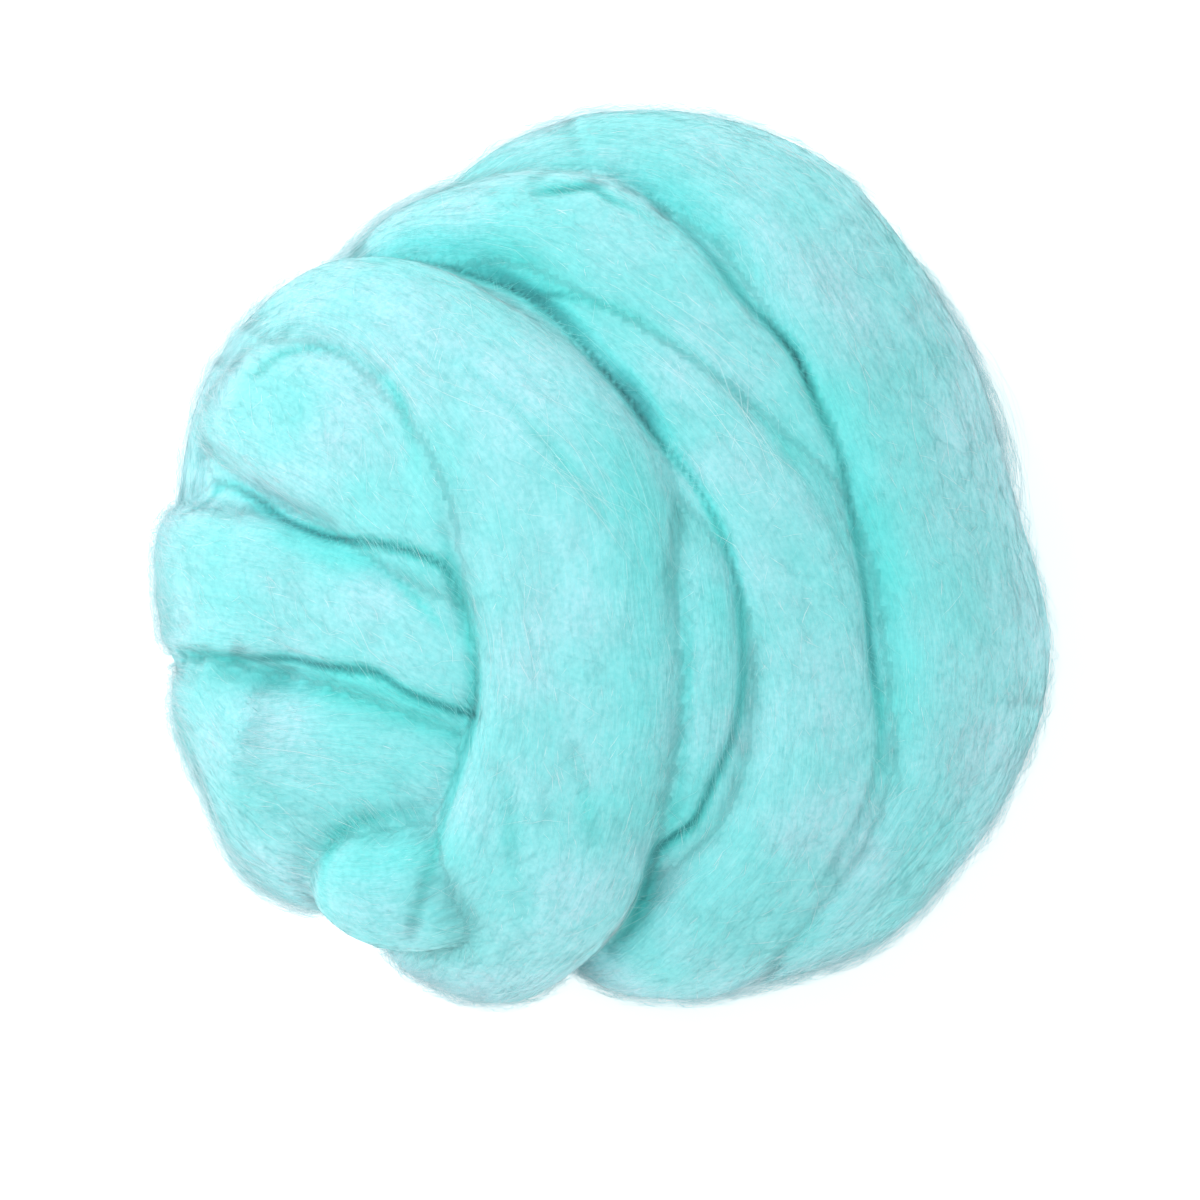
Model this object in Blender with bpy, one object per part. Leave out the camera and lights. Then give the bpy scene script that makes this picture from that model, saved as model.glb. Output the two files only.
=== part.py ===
"""Wool roving, wound by hand into a ball that rests on a table.

Roving is a thick soft rope of combed wool with no twist. Its broad turns lie over the ball like the segments
of an orange: they meet at one pole at the far left of the rim and at another on the near side. Three folded
lobes cross under them at the left, and the end of the roving is tucked in at the near left.
The ball is one closed body, a core with the turns raised on it, and it stands on a small flat spot.

The tables place each turn in millimetres, seen from above: x to the right and y away from the viewer, both
from the middle of the ball. The model is in metres, with +Z up and its origin under the middle of the ball.
"""

import math
from collections import namedtuple

import bmesh
import bpy
import numpy as np
from mathutils import Matrix

MM = 0.001

# The flattened ball that the turns are laid over: half its width, half its height and how high its middle is
# above the table. The turns stand about 13 mm proud of it. The core, the wool that fills the valleys between
# them, rises less.
HALF_WIDTH = 62.0
HALF_HEIGHT = 37.0
MIDDLE = 46.0
CORE_RISE = 6.0

# One cross-section of a turn: where its middle lies over the ball, on the top or the underside, how far that
# middle is lifted off the ball, half its width along the ball and half its thickness.
Section = namedtuple("Section", "x y side lift half_width half_thick")
TOP, UNDER = 1, -1

# A closed turn goes right round the ball. An open one starts and ends inside it.
Turn = namedtuple("Turn", "name closed sections")

POINTS_AROUND = 28
SECTION_STEP = 3.0
SQUARENESS = 0.72

SKIN_STEP = 1.5
SMOOTH_ROUNDS = 4
KEPT_SHARE = 0.125
SLAB_DEPTH = 30.0

WOOL_COLOUR = (0.31, 0.78, 0.80, 1.0)
WOOL_ROUGHNESS = 0.9


def sections(*rows):
    return [Section(*row) for row in rows]


#         x    y   side  lift half_width half_thick
TURNS = [
    Turn("front_turn", True, sections(
        (-62, 6, TOP, 0, 8, 8),
        (-60, 18, TOP, 1, 8, 9),
        (-54, 30, TOP, 1, 8, 9),
        (-43, 37, TOP, 3, 9, 10),
        (-32, 35, TOP, 4, 11.5, 11),
        (-20.5, 28, TOP, 4, 13.5, 12),
        (-11, 18, TOP, 4, 16.5, 13),
        (-6, 6, TOP, 4, 19, 13),
        (-4, -8, TOP, 4, 18, 13),
        (-3, -22, TOP, 4, 18, 13),
        (-6, -36, TOP, 4, 18, 13),
        (-11, -48, TOP, 5, 18, 13),
        (-19, -58, TOP, 4, 14, 12),
        (-24, -56, UNDER, 1, 13, 12),
        (-23, -46, UNDER, 0, 15, 11),
        (-28, -26, UNDER, 0, 17, 11),
        (-38, -8, UNDER, 0, 16, 11),
        (-52, 0, UNDER, -2, 12, 9),
    )),
    Turn("middle_turn", True, sections(
        (-38, 40, TOP, -6, 6, 7),
        (-24, 42, TOP, -4, 8, 8),
        (-9, 40, TOP, -2, 10, 10),
        (3, 33, TOP, 0, 13, 11),
        (14, 22, TOP, 0, 13, 12),
        (23, 10, TOP, 0, 14, 12),
        (29, -1, TOP, 0, 14, 12),
        (33, -14, TOP, 0, 13.5, 12),
        (34, -27, TOP, 1, 15, 12),
        (31, -40, TOP, 3, 17, 12),
        (22, -51, TOP, 4, 17, 12),
        (10, -60, TOP, 3, 14, 11),
        (-2, -50, UNDER, -1, 12, 11),
        (-4, -24, UNDER, 0, 17, 12),
        (-12, 8, UNDER, 0, 17, 12),
        (-24, 34, UNDER, 0, 12, 11),
        (-38, 48, UNDER, -2, 8, 9),
    )),
    Turn("outer_turn", True, sections(
        (-40, 47, TOP, -3, 6, 7),
        (-24, 55, TOP, -1, 7, 8),
        (-9, 60, TOP, 1, 10, 10),
        (10, 58, TOP, 3, 13, 12),
        (26, 50, TOP, 4, 16, 13),
        (37, 38, TOP, 2, 19, 13),
        (46, 25, TOP, 0, 21, 13),
        (51, 12, TOP, 0, 20, 13),
        (54, -1, TOP, 0, 20, 14),
        (54, -15, TOP, 3, 20, 14),
        (51, -29, TOP, 3, 19, 14),
        (43, -41, TOP, 4, 17, 14),
        (31, -52, TOP, 5, 15, 13),
        (16, -59, UNDER, 0, 13, 13),
        (6, -48, UNDER, 0, 12, 11),
        (19, -20, UNDER, 0, 19, 12),
        (17, 14, UNDER, 0, 19, 12),
        (-4, 44, UNDER, 0, 13, 11),
        (-26, 54, UNDER, -1, 8, 9),
    )),
    Turn("rim_turn", False, sections(
        (-10, 52, UNDER, -2, 8, 8),
        (12, 56, UNDER, 0, 12, 10),
        (33, 45, UNDER, 1, 17, 12),
        (46, 28, UNDER, 1, 20, 13),
        (51, 6, UNDER, 1, 21, 13),
        (48, -18, UNDER, 1, 20, 13),
        (36, -39, UNDER, 0, 16, 12),
        (16, -52, UNDER, -2, 9, 9),
    )),
    Turn("far_fold", False, sections(
        (-42, 45, TOP, -3, 6, 6),
        (-32, 50.5, TOP, 0, 8.5, 8),
        (-18, 52, TOP, 1, 10, 9),
        (-6, 50, TOP, 2, 11, 10),
        (5, 43.5, TOP, 3, 12, 10),
        (15, 34.5, TOP, 3, 11, 10),
        (25, 24, TOP, 2, 9, 10),
        (33, 14, TOP, 1, 7, 9),
        (39, 2, TOP, -2, 5, 7),
        (42, -10, TOP, -6, 3, 4),
    )),
    Turn("far_loop", False, sections(
        (-18, 60, TOP, 2, 2, 3),
        (-10, 61, TOP, 5, 3, 4),
        (-2, 60, TOP, 6, 3, 4),
        (5, 57, TOP, 6, 3, 4),
        (11, 52, TOP, 5, 3, 4),
        (17, 46, TOP, 2, 2, 3),
    )),
    Turn("inner_turn", False, sections(
        (5, 14, TOP, -3, 8, 8),
        (10, 3, TOP, 0, 11, 10),
        (12, -10, TOP, 2, 12, 11),
        (12, -24, TOP, 2, 12, 11),
        (10, -38, TOP, 1, 12, 11),
        (5, -50, TOP, -2, 9, 8),
        (-2, -58, TOP, -6, 6, 6),
    )),
    Turn("upper_lobe", False, sections(
        (-57, 24, TOP, -3, 9, 8),
        (-51, 23, TOP, 1, 13, 10),
        (-43, 20, TOP, 2, 14, 12),
        (-34, 15, TOP, 3, 14, 12),
        (-27, 7, TOP, 4, 12, 12),
        (-20, -1, TOP, 2, 10, 11),
        (-12, -10, TOP, -4, 6, 7),
    )),
    Turn("middle_lobe", False, sections(
        (-38, -12, UNDER, -6, 10, 8),
        (-54, -6, UNDER, -1, 12, 11),
        (-62, -3, TOP, 1, 13, 12),
        (-54, -5, TOP, 2, 13, 12),
        (-44, -7, TOP, 1, 13, 12),
        (-34, -10, TOP, 2, 13, 12),
        (-24, -15, TOP, 2, 12, 12),
        (-16, -21, TOP, 0, 9, 10),
        (-8, -26, TOP, -9, 4, 5),
    )),
    Turn("lower_lobe", False, sections(
        (-36, -28, UNDER, -6, 12, 8),
        (-52, -32, UNDER, 1, 19, 11),
        (-52, -32, TOP, 4, 21, 12),
        (-47, -36, TOP, 5, 22, 12),
        (-37, -37, TOP, 3, 21, 11),
        (-28, -38, TOP, 1, 19, 11),
        (-19, -40, TOP, -1, 16, 10),
        (-10, -45, TOP, -7, 9, 6),
    )),
    Turn("tucked_end", False, sections(
        (-12, -42, TOP, -1, 9, 8),
        (-19, -46, TOP, 6, 11, 9),
        (-26, -47, TOP, 10, 12, 10),
        (-32, -46, TOP, 11, 11, 10),
        (-36, -45, TOP, 11, 8, 8),
        (-38, -44, TOP, 10, 4, 4),
    )),
]


def unit(vectors):
    return vectors / np.linalg.norm(vectors, axis=1)[:, None]


def off_ball(places):
    """The directions that lead straight off the ball at these places."""
    return unit((places - [0, 0, MIDDLE]) / [HALF_WIDTH**2, HALF_WIDTH**2, HALF_HEIGHT**2])


def on_ball(section):
    """Where the middle of a section is. A place past the rim is brought back to the rim."""
    reach = math.hypot(section.x, section.y) / HALF_WIDTH
    rise = math.sqrt(max(0.0, 1 - reach * reach))
    past = max(reach, 1)
    place = np.array([[section.x / past, section.y / past, MIDDLE + section.side * HALF_HEIGHT * rise]])
    return (place + section.lift * off_ball(place))[0]


def smooth_rows(rows, count, closed):
    """count rows, evenly spread, along a smooth curve through these ones."""
    spans = len(rows) if closed else len(rows) - 1
    at = np.linspace(0, spans, count, endpoint=not closed)
    first = np.minimum(at.astype(int), spans - 1)
    part = (at - first)[:, None]

    def row(k):
        return rows[k % len(rows)] if closed else rows[np.clip(k, 0, len(rows) - 1)]

    a, b, c, d = row(first - 1), row(first), row(first + 1), row(first + 2)
    bend = (2 * a - 5 * b + 4 * c - d) * part**2 + (3 * b - a - 3 * c + d) * part**3
    return b + ((c - a) * part + bend) / 2


def turn_rings(turn):
    """The cross-sections of a turn as rings of points, in millimetres."""
    rows = np.array([[*on_ball(s), s.half_width, s.half_thick] for s in turn.sections])
    ends = np.vstack([rows, rows[:1]]) if turn.closed else rows
    length = np.linalg.norm(np.diff(ends[:, :3], axis=0), axis=1).sum()
    rows = smooth_rows(rows, round(length / SECTION_STEP), turn.closed)

    middle = rows[:, :3]
    if turn.closed:
        along = unit(np.roll(middle, -1, axis=0) - np.roll(middle, 1, axis=0))
    else:
        along = unit(np.gradient(middle, axis=0))
    across = unit(np.cross(along, off_ball(middle)))
    upward = np.cross(across, along)

    angle = np.linspace(0, 2 * math.pi, POINTS_AROUND, endpoint=False)
    wide = np.sign(np.cos(angle)) * np.abs(np.cos(angle)) ** SQUARENESS
    tall = np.sign(np.sin(angle)) * np.abs(np.sin(angle)) ** SQUARENESS
    sideways = across[:, None] * rows[:, None, 3:4] * wide[None, :, None]
    outward = upward[:, None] * rows[:, None, 4:5] * tall[None, :, None]
    return middle[:, None] + sideways + outward


def add_turn(mesh, turn):
    """Loft the turn's rings into a closed skin."""
    rings = [[mesh.verts.new(point * MM) for point in ring] for ring in turn_rings(turn)]
    pairs = list(zip(rings, rings[1:]))
    if turn.closed:
        pairs.append((rings[-1], rings[0]))
    else:
        mesh.faces.new(rings[0][::-1])
        mesh.faces.new(rings[-1])
    for here, there in pairs:
        for k in range(POINTS_AROUND):
            after = (k + 1) % POINTS_AROUND
            mesh.faces.new((here[k], here[after], there[after], there[k]))


def add_core(mesh):
    """The wool under the turns, a flattened ball."""
    half_width = (HALF_WIDTH + CORE_RISE) * MM
    half_height = (HALF_HEIGHT + CORE_RISE) * MM
    place = Matrix.Translation((0, 0, MIDDLE * MM)) @ Matrix.Diagonal((half_width, half_width, half_height, 1))
    bmesh.ops.create_uvsphere(mesh, u_segments=48, v_segments=24, radius=1, matrix=place)


def made_object(name, mesh):
    """The bmesh as an object of the scene."""
    data = bpy.data.meshes.new(name)
    mesh.to_mesh(data)
    mesh.free()
    made = bpy.data.objects.new(name, data)
    bpy.context.scene.collection.objects.link(made)
    return made


def table_slab():
    """What is cut away below the table's top, to leave the flat spot that the ball stands on."""
    mesh = bmesh.new()
    wide = 4 * HALF_WIDTH * MM
    deep = SLAB_DEPTH * MM
    place = Matrix.Translation((0, 0, -deep / 2)) @ Matrix.Diagonal((wide, wide, deep, 1))
    bmesh.ops.create_cube(mesh, size=1, matrix=place)
    slab = made_object("table_slab", mesh)
    slab.hide_render = True
    slab.display_type = "WIRE"
    return slab


def wool():
    material = bpy.data.materials.new("wool")
    material.use_nodes = True
    finish = material.node_tree.nodes["Principled BSDF"]
    finish.inputs["Base Color"].default_value = WOOL_COLOUR
    finish.inputs["Roughness"].default_value = WOOL_ROUGHNESS
    finish.inputs["Metallic"].default_value = 0.0
    return material


def wound_roving():
    """The core and the turns under one skin, cut level where the ball stands."""
    mesh = bmesh.new()
    add_core(mesh)
    for turn in TURNS:
        add_turn(mesh, turn)
    ball = made_object("wound_roving", mesh)
    ball.data.materials.append(wool())

    skin = ball.modifiers.new("one_skin", "REMESH")
    skin.mode = "VOXEL"
    skin.voxel_size = SKIN_STEP * MM
    skin.use_smooth_shade = True
    soften = ball.modifiers.new("soften", "SMOOTH")
    soften.iterations = SMOOTH_ROUNDS
    thin_out = ball.modifiers.new("thin_out", "DECIMATE")
    thin_out.ratio = KEPT_SHARE
    flat_spot = ball.modifiers.new("flat_spot", "BOOLEAN")
    flat_spot.operation = "DIFFERENCE"
    flat_spot.solver = "EXACT"
    flat_spot.object = table_slab()


def main():
    for leftover in list(bpy.data.objects):
        bpy.data.objects.remove(leftover)
    wound_roving()


main()
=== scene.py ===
"""The looks of a ball of turquoise wool roving.

The ball's skin is one fine closed mesh of its turns, with the relief that the combed fibres leave. Fibres
lie on it along each turn, finer ones stand off it as fuzz, and a few loose wisps bridge its outline.

The tables are in millimetres, seen from above: x to the right and y away from the viewer, both from the
middle of the ball. Blender's own values are in metres.
"""

import math
from collections import namedtuple

import bpy
import numpy as np
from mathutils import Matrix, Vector
from mathutils.bvhtree import BVHTree


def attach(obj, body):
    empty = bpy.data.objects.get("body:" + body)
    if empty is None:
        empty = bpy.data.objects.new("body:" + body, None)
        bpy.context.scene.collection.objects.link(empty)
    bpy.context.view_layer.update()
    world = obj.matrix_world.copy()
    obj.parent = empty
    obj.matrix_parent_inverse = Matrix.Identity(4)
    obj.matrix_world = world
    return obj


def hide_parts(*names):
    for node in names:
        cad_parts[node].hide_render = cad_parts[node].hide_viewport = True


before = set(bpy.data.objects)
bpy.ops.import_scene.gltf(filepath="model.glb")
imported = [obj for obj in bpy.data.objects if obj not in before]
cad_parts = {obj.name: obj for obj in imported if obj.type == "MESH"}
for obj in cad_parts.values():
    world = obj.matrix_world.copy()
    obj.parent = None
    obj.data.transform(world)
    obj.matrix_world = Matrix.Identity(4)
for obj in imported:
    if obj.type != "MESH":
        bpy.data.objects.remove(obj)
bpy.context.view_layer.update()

MM = 0.001
NODE = "wound_roving"
BODY = "root"
RANDOM_SEED = 7

# ---------------- the turns of the ball

# The flattened ball that the turns lie on, and how far the wool between them rises above it.
HALF_WIDTH = 62.0
HALF_HEIGHT = 37.0
MIDDLE = 46.0
CORE_RISE = 6.0

# A turn's cross-section: its place in plan, on the ball's top or underside, and its lift off the ball.
Section = namedtuple("Section", "x y side lift half_width half_thick")
TOP, UNDER = 1, -1
Turn = namedtuple("Turn", "name closed sections")


def sections(*rows):
    return [Section(*row) for row in rows]


#         x    y   side  lift half_width half_thick
TURNS = [
    Turn("front_turn", True, sections(
        (-62, 6, TOP, 0, 8, 8),
        (-60, 18, TOP, 1, 8, 9),
        (-54, 30, TOP, 1, 8, 9),
        (-43, 37, TOP, 3, 9, 10),
        (-32, 35, TOP, 4, 11.5, 11),
        (-21.5, 27, TOP, 4, 14.5, 12),
        (-12.5, 17, TOP, 4, 18, 13),
        (-6.5, 6, TOP, 4, 19.5, 13),
        (-4, -8, TOP, 4, 18, 13),
        (-3, -22, TOP, 4, 18, 13),
        (-6, -36, TOP, 4, 18, 13),
        (-11, -48, TOP, 5, 18, 13),
        (-19, -58, TOP, 4, 14, 12),
        (-24, -56, UNDER, 1, 13, 12),
        (-23, -46, UNDER, 0, 15, 11),
        (-28, -26, UNDER, 0, 17, 11),
        (-38, -8, UNDER, 0, 16, 11),
        (-52, 0, UNDER, -2, 12, 9),
    )),
    Turn("middle_turn", True, sections(
        (-38, 40, TOP, -6, 6, 7),
        (-24, 42, TOP, -4, 8, 8),
        (-9, 40, TOP, -2, 10, 10),
        (3, 33, TOP, 0, 13, 11),
        (14, 22, TOP, 0, 13, 12),
        (23, 10, TOP, 0, 14, 12),
        (29, -1, TOP, 0, 14, 12),
        (33, -14, TOP, 0, 13.5, 12),
        (34, -27, TOP, 1, 15, 12),
        (31, -40, TOP, 3, 17, 12),
        (22, -51, TOP, 4, 17, 12),
        (10, -60, TOP, 3, 14, 11),
        (-2, -50, UNDER, -1, 12, 11),
        (-4, -24, UNDER, 0, 17, 12),
        (-12, 8, UNDER, 0, 17, 12),
        (-24, 34, UNDER, 0, 12, 11),
        (-38, 48, UNDER, -2, 8, 9),
    )),
    Turn("outer_turn", True, sections(
        (-40, 47, TOP, -3, 6, 7),
        (-24, 55, TOP, -1, 7, 8),
        (-9, 60, TOP, 1, 10, 10),
        (10, 58, TOP, 3, 13, 12),
        (26, 50, TOP, 4, 16, 13),
        (37, 38, TOP, 2, 19, 13),
        (46, 25, TOP, 0, 21, 13),
        (51, 12, TOP, 0, 20, 13),
        (54, -1, TOP, 0, 20, 14),
        (54, -15, TOP, 3, 20, 14),
        (51, -29, TOP, 3, 19, 14),
        (43, -41, TOP, 4, 17, 14),
        (31, -52, TOP, 5, 15, 13),
        (16, -59, UNDER, 0, 13, 13),
        (6, -48, UNDER, 0, 12, 11),
        (19, -20, UNDER, 0, 19, 12),
        (17, 14, UNDER, 0, 19, 12),
        (-4, 44, UNDER, 0, 13, 11),
        (-26, 54, UNDER, -1, 8, 9),
    )),
    Turn("rim_turn", False, sections(
        (-10, 52, UNDER, -2, 8, 8),
        (12, 56, UNDER, 0, 12, 10),
        (33, 45, UNDER, 1, 17, 12),
        (46, 28, UNDER, 1, 20, 13),
        (51, 6, UNDER, 1, 21, 13),
        (48, -18, UNDER, 1, 20, 13),
        (36, -39, UNDER, 0, 16, 12),
        (16, -52, UNDER, -2, 9, 9),
    )),
    Turn("far_fold", False, sections(
        (-42, 45, TOP, -3, 6, 6),
        (-32, 50.5, TOP, 0, 8.5, 8),
        (-18, 52, TOP, 1, 10, 9),
        (-6, 50, TOP, 2, 11, 10),
        (5, 43.5, TOP, 3, 12, 10),
        (15, 34.5, TOP, 3, 11, 10),
        (25, 24, TOP, 2, 9, 10),
        (33, 14, TOP, 1, 7, 9),
        (39, 2, TOP, -2, 5, 7),
        (42, -10, TOP, -6, 3, 4),
    )),
    Turn("far_loop", False, sections(
        (-18, 60, TOP, 2, 2, 3),
        (-10, 61, TOP, 5, 3, 4),
        (-2, 60, TOP, 6, 3, 4),
        (5, 57, TOP, 6, 3, 4),
        (11, 52, TOP, 5, 3, 4),
        (17, 46, TOP, 2, 2, 3),
    )),
    Turn("inner_turn", False, sections(
        (5, 14, TOP, -3, 8, 8),
        (10, 3, TOP, 0, 11, 10),
        (12, -10, TOP, 2, 12, 11),
        (12, -24, TOP, 2, 12, 11),
        (10, -38, TOP, 1, 12, 11),
        (5, -50, TOP, -2, 9, 8),
        (-2, -58, TOP, -6, 6, 6),
    )),
    Turn("upper_lobe", False, sections(
        (-58.5, 24, TOP, 0.5, 9, 8.5),
        (-51, 23, TOP, 1, 13, 10),
        (-43, 20, TOP, 2, 14, 12),
        (-34, 15, TOP, 3, 14, 12),
        (-27, 7, TOP, 4, 12, 12),
        (-20, -1, TOP, 2, 10, 11),
        (-12, -10, TOP, -4, 6, 7),
    )),
    Turn("middle_lobe", False, sections(
        (-38, -12, UNDER, -6, 10, 8),
        (-54, -6, UNDER, -1, 12, 11),
        (-62, -3, TOP, 1, 13, 12),
        (-54, -5, TOP, 2, 13, 12),
        (-44, -7, TOP, 1, 13, 12),
        (-34, -10, TOP, 2, 13, 12),
        (-24, -15, TOP, 2, 12, 12),
        (-16, -21, TOP, 0, 9, 10),
        (-8, -26, TOP, -9, 4, 5),
    )),
    Turn("lower_lobe", False, sections(
        (-36, -28, UNDER, -6, 12, 8),
        (-52, -32, UNDER, 1, 19, 11),
        (-52, -32, TOP, 4, 21, 12),
        (-47, -36, TOP, 5, 22, 12),
        (-37, -37, TOP, 3, 21, 11),
        (-28, -38, TOP, 1, 19, 11),
        (-19, -40, TOP, -1, 16, 10),
        (-10, -45, TOP, -7, 9, 6),
    )),
    Turn("tucked_end", False, sections(
        (-12, -42, TOP, -1, 9, 8),
        (-19, -46, TOP, 6, 11, 9),
        (-26, -47, TOP, 10, 12, 10),
        (-32, -46, TOP, 11, 11, 10),
        (-36, -45, TOP, 11, 8, 8),
        (-38, -44, TOP, 10, 4, 4),
    )),
]

# A crease seen from above: how deep and how wide a trough it presses into the turns, how wide its shade is,
# and the places that it passes, each with how strong it is there, from 0 to 1.
Crease = namedtuple("Crease", "name deep half_width shade_width places")


def shadow(name, width, places):
    """A crease that presses nothing in: one turn's wool lies in the shade of the next."""
    return Crease(name, 0, 1, width, places)


CREASES = [
    Crease("front_right", 1.3, 1.2, 0.9, [
        (-43, 50.5, 0), (-38, 49, 0.35), (-31, 48.8, 0.5), (-24, 47.3, 0.8), (-14.7, 43.8, 1),
        (-8, 39.2, 0.9), (-3.7, 35, 0.8), (0, 30.5, 0.9), (4, 26, 1), (8, 20.5, 0.9), (12, 15.5, 0.6),
        (16, 10.5, 0.6), (21, -0.5, 0.6), (23, -12, 0.5), (22.5, -27, 0.6), (17.5, -39, 0.75),
        (15, -44, 0.9), (10, -48, 0.9), (8, -53, 0.6), (5.5, -60, 0.4), (0.5, -65.5, 0),
    ]),
    Crease("middle_right", 1.1, 1.2, 0.9, [
        (0, 64, 0), (7, 60, 0.3), (10, 57, 0.5), (16.5, 50.5, 0.6), (24, 41, 0.7), (28, 37, 0.8),
        (31.5, 33, 1), (33.5, 29, 1), (35, 25, 0.7), (38.5, 17, 0.5), (40.5, 10, 0.6), (43.5, -5, 0.6),
        (44.5, -16.5, 0.8), (46, -27, 0.4), (45.5, -35, 0.2), (41.5, -45, 0.1), (35, -55.5, 0),
    ]),
    Crease("middle_fold", 0.9, 1.4, 1.1, [
        (-9, 42.5, 0.8), (-3, 41.5, 0.4), (4, 39, 0.3), (10, 35.5, 0.25), (18, 29.5, 0.25),
        (26, 22.5, 0.3), (33, 13, 0.3), (38, 5, 0.2), (41.5, -3, 0),
    ]),
    Crease("loop_far", 0.8, 1.3, 1.0, [
        (-14, 59, 0), (-9, 63.5, 0.1), (-4, 64.5, 0.1), (1, 64, 0.2), (7, 60.5, 0.4), (11, 56.5, 0.5),
    ]),
    Crease("loop_slit", 1.0, 1.2, 0.8, [
        (-12, 59.5, 0), (-7, 60, 0.7), (-1.5, 60.5, 0.8), (1.5, 58.5, 0.5), (8, 55, 0.2), (12, 52, 0),
    ]),
    Crease("front_middle", 0.6, 1.8, 1.4, [
        (11.5, 5.5, 0), (12.5, -3, 0.2), (13.5, -9, 0.3), (14, -16, 0.35), (13.5, -27, 0.3),
        (13, -36, 0.25), (11.5, -44.5, 0.3),
    ]),
    Crease("front_left", 1.0, 1.3, 1.0, [
        (-26, 5.5, 0), (-24, -2, 0.4), (-22, -9, 0.35), (-20.5, -19, 0.5), (-21, -26.5, 0.7),
        (-22.5, -33, 0.5), (-25.5, -42.5, 0.4), (-27, -48.5, 0.35), (-28.5, -53.5, 0.3),
        (-30.5, -59.5, 0.2), (-32, -64.5, 0),
    ]),
    Crease("upper_lobe_rim", 0.6, 1.3, 0.8, [
        (-58, 28, 0), (-56, 30.5, 0.2), (-52.5, 33, 0.35), (-47.5, 34, 0.35), (-42.5, 33, 0.25),
        (-38, 30.5, 0.2), (-34.5, 27.5, 0.4), (-32.5, 24.5, 0.5), (-31, 20, 0.3), (-29, 12, 0),
    ]),
    Crease("upper_middle", 1.2, 1.2, 0.9, [
        (-71.5, 7, 0), (-67.5, 8.5, 0.3), (-62.5, 11.5, 0.35), (-58.5, 10, 0.7), (-53, 6.3, 0.9),
        (-47, 3.5, 1), (-42.5, 2.3, 1), (-37, 1.7, 0.8), (-31, 0.3, 0.85), (-25.5, -2.2, 0.8),
        (-23.5, -6, 0.5), (-22, -11, 0.2),
    ]),
    Crease("middle_lower", 1.2, 1.2, 0.9, [
        (-69, -16, 0.2), (-64.5, -16.5, 0.45), (-57.5, -17.5, 0.6), (-51.5, -17.3, 0.85),
        (-44, -18.7, 0.95), (-37, -19.5, 0.85), (-32, -22.5, 0.85), (-26, -25, 0.85), (-21, -26.5, 1),
    ]),
    Crease("tucked_rim", 0.7, 1.5, 1.2, [
        (-27, -42, 0.1), (-34, -42.5, 0.3), (-40, -44, 0.45), (-44, -47, 0.4), (-46, -52, 0.3),
        (-46, -57, 0.25), (-43.5, -61, 0.1), (-40.5, -63, 0),
    ]),
    Crease("middle_lobe_line", 0.5, 1.5, 0.8, [
        (-41, 1.5, 0), (-38, -0.5, 0.3), (-32.5, -5, 0.4), (-27.5, -10, 0.35), (-23.5, -14, 0),
    ]),
    Crease("near_fold", 0.6, 2.6, 1.8, [
        (-16.5, -33, 0), (-15.5, -40, 0.2), (-15, -46.5, 0.2), (-13.5, -55, 0.1), (-12.5, -63, 0),
    ]),
    Crease("near_pleat", 0.5, 2.0, 1.4, [(-5, -30, 0), (-3, -37.5, 0.2), (-2, -43.5, 0.2), (0, -52, 0)]),
    Crease("front_strands", 0.3, 1.4, 1.0, [
        (-30, 33.5, 0), (-22, 30, 0.15), (-14, 23, 0.2), (-6, 15, 0.25), (0, 7, 0.2), (7, -5, 0),
    ]),
    shadow("over_tucked_end", 9, [(-30, -38, 0), (-33, -46, 0.2), (-36, -52, 0.2), (-38, -60, 0.1)]),
    shadow("front_shadow", 2.0, [
        (-27, 49, 0), (-23, 48, 0.4), (-16, 45.5, 0.85), (-10.5, 42.3, 0.95), (-5.5, 38, 0.75),
        (0, 32.3, 0.5), (4.5, 27.3, 0.8), (7.5, 23, 0.8), (11, 18.5, 0.3), (14, 14, 0),
    ]),
    shadow("front_flank", 6.5, [
        (-8, 33, 0), (-1, 23, 0.15), (4, 13, 0.22), (7, 3, 0.24), (8.5, -8, 0.24), (8.5, -20, 0.2),
        (7, -33, 0.15), (4, -46, 0),
    ]),
    shadow("beside_front", 4.5, [
        (-42, 52, 0), (-31, 51.5, 0.3), (-22, 50, 0.35), (-13, 46, 0.35), (-4, 38, 0.25), (3, 31, 0.2),
        (12, 20, 0.1), (18, 12, 0),
    ]),
    shadow("beside_inner", 4.0, [
        (17, 4, 0), (18.5, -6, 0.25), (19.5, -14, 0.2), (19, -26, 0.12), (16, -38, 0.2), (11, -45, 0.2),
        (8, -52, 0),
    ]),
    shadow("beside_middle", 4.5, [
        (2, 64, 0), (6, 62, 0.2), (11, 59.5, 0.3), (17, 53.5, 0.3), (24, 44, 0.15), (36, 28, 0.15),
        (42, 12, 0.3), (46, -2, 0.3), (47.5, -16, 0.25), (48, -28, 0.1), (47, -38, 0),
    ]),
    shadow("under_fold", 3.5, [
        (20, 29, 0), (30, 19, 0.2), (36, 11, 0.25), (40, 2, 0.2), (43, -10, 0),
    ]),
    shadow("under_upper", 3.0, [
        (-58, 8.5, 0), (-51, 3.5, 0.3), (-43, 0, 0.35), (-34, -1.5, 0.25), (-26, -5, 0.1),
    ]),
    shadow("under_middle", 3.0, [
        (-66, -19, 0), (-60, -19.5, 0.2), (-52, -20, 0.4), (-42, -21.5, 0.4), (-32, -25, 0.35),
        (-24, -29, 0.3), (-23, -36, 0),
    ]),
]

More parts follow.
